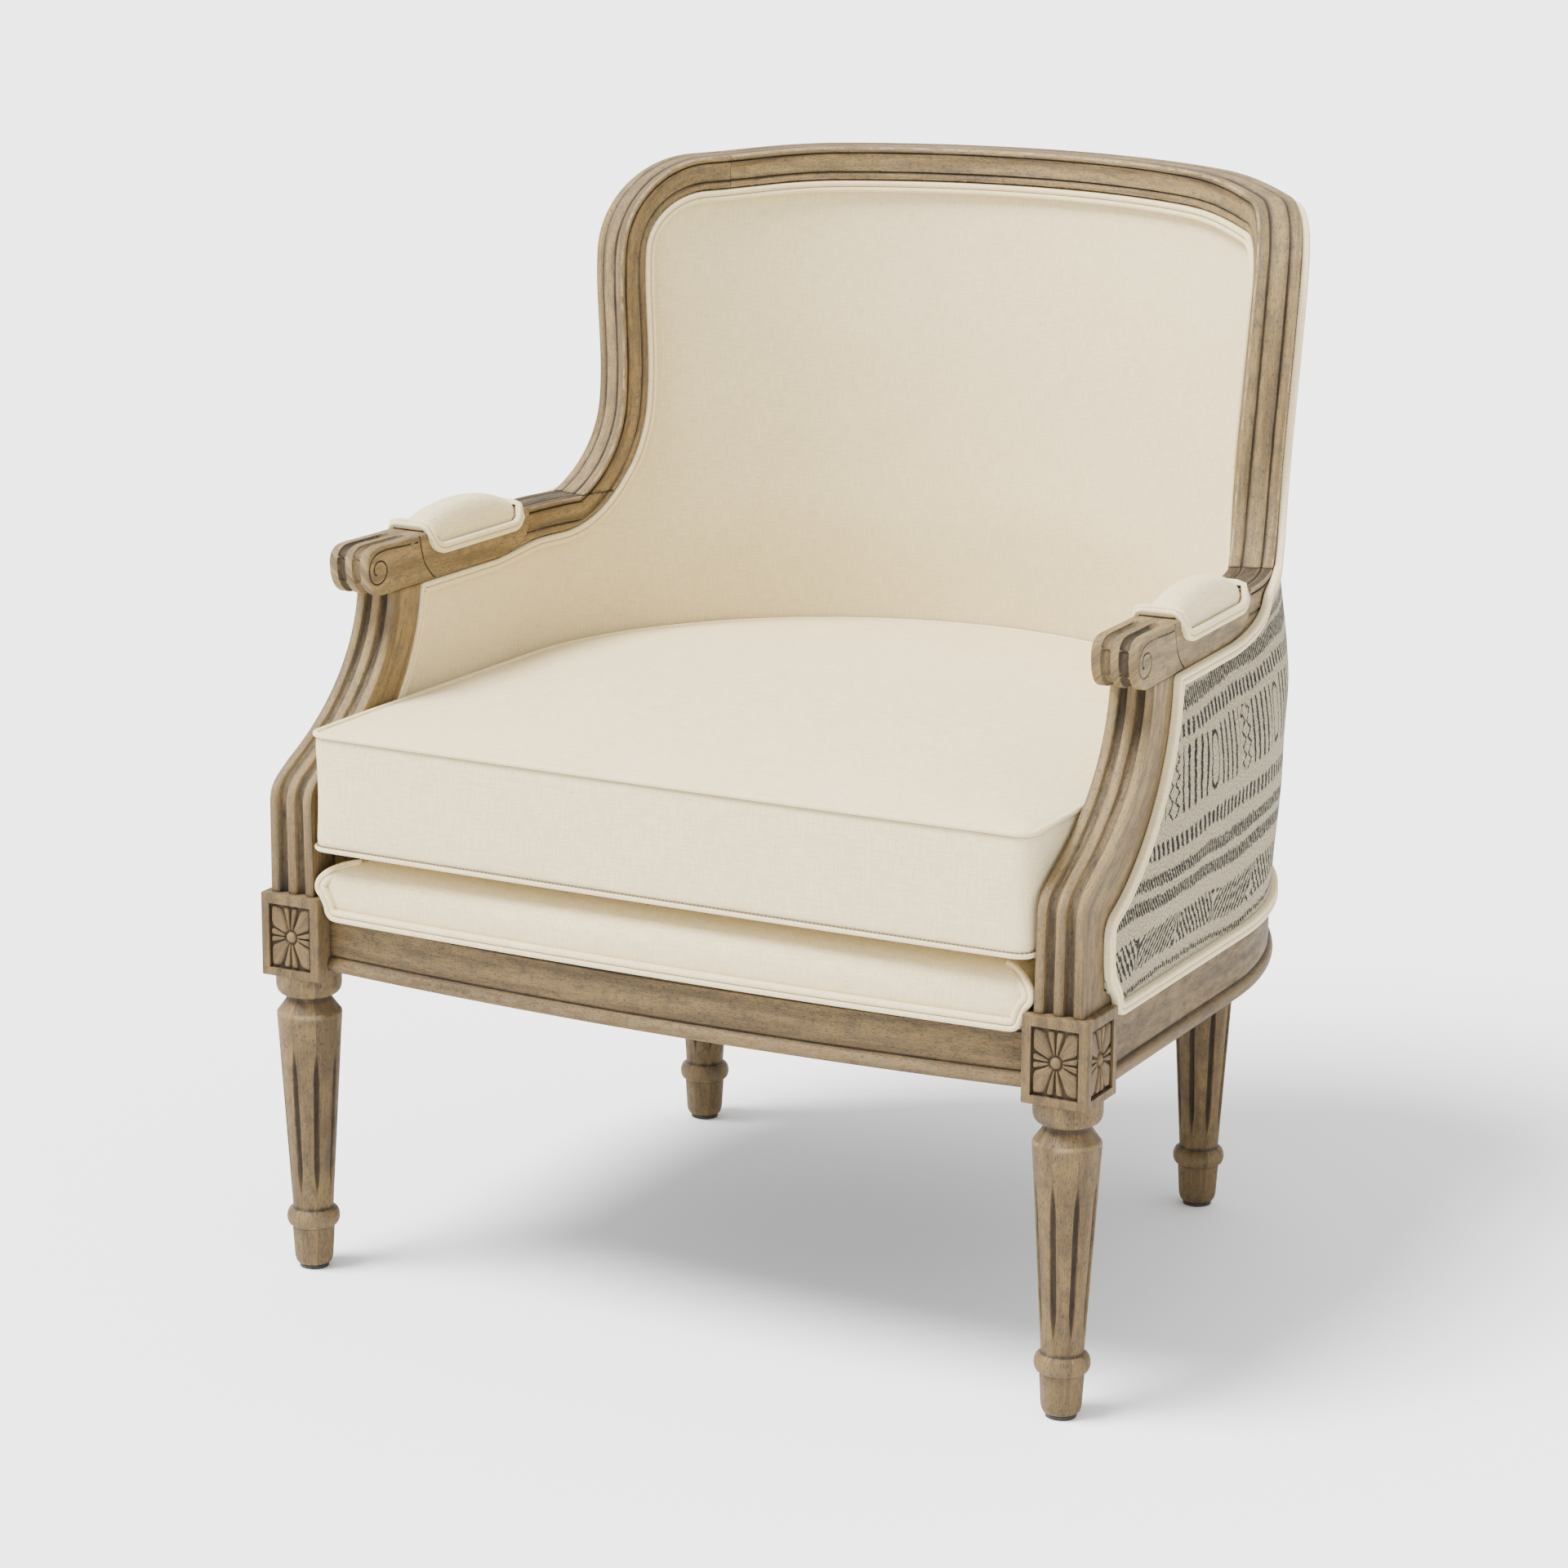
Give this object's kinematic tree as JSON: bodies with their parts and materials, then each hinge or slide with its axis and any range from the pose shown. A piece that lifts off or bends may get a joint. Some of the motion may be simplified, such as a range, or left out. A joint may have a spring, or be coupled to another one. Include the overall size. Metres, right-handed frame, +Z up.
{
  "type": "bergere armchair",
  "caption": "Upholstered gondola bergere: carved wooden frame with turned fluted legs, scrolled padded arms, horseshoe back and a loose box cushion.",
  "frame": {"origin": "middle of the bounding box in plan, on the floor under the glides", "axes": "+Z up, the seat opens towards -Y, +X is the right-hand side seen from the front"},
  "size_m": [0.7296, 0.713, 0.865],
  "materials": {
    "painted_wood": "weathered pale wood with a grey-brown patina, darker in the grooves",
    "bare_wood": "unfinished beech",
    "canvas": "undyed cream canvas, plain weave, matt",
    "woven_cover": "grey-beige flat weave with charcoal rows of geometric figures",
    "webbing": "jute webbing",
    "dust_cloth": "black dust cloth",
    "glide": "black nylon",
    "steel": "zinc-plated steel"
  },
  "bodies": {
    "frame": {"front_rail": "painted_wood", "back_rail": "painted_wood", "side_rail_right": "painted_wood", "side_rail_left": "painted_wood", "front_leg_right": "painted_wood", "front_leg_left": "painted_wood", "back_leg_right": "painted_wood", "back_leg_left": "painted_wood", "front_glide_right": "glide", "front_glide_left": "glide", "back_glide_right": "glide", "back_glide_left": "glide", "arm_post_right": "painted_wood", "arm_post_left": "painted_wood", "arm_right": "painted_wood", "arm_left": "painted_wood", "back_stile_right": "painted_wood", "back_stile_left": "painted_wood", "top_rail": "painted_wood", "arm_dowel_right": "bare_wood", "arm_dowel_left": "bare_wood", "top_rail_dowel_right": "bare_wood", "top_rail_dowel_left": "bare_wood", "elbow_upright_right": "bare_wood", "elbow_upright_left": "bare_wood", "back_upright_right": "bare_wood", "back_upright_left": "bare_wood", "front_corner_block_right": "bare_wood", "front_corner_block_left": "bare_wood", "back_corner_block_right": "bare_wood", "back_corner_block_left": "bare_wood", "front_block_screw_1_right": "steel", "front_block_screw_1_left": "steel", "front_block_screw_2_right": "steel", "front_block_screw_2_left": "steel", "back_block_screw_1_right": "steel", "back_block_screw_1_left": "steel", "back_block_screw_2_right": "steel", "back_block_screw_2_left": "steel", "long_webbing_1": "webbing", "long_webbing_2": "webbing", "long_webbing_3": "webbing", "long_webbing_4": "webbing", "cross_webbing_1": "webbing", "cross_webbing_2": "webbing", "cross_webbing_3": "webbing", "dust_cover": "dust_cloth", "seat_deck": "canvas", "deck_welt": "canvas", "inner_lining": "canvas", "inner_welt": "canvas", "outer_cover": "woven_cover", "outer_welt": "canvas", "arm_pad_right": "canvas", "arm_pad_left": "canvas", "arm_pad_welt_right": "canvas", "arm_pad_welt_left": "canvas"},
    "cushion": {"seat_cushion": "canvas"}
  },
  "joints": [
    {"name": "cushion_lift", "type": "slide", "parent": "frame", "child": "cushion", "axis": [0, 0, 1], "range_m": [0, 0.075]}
  ]
}
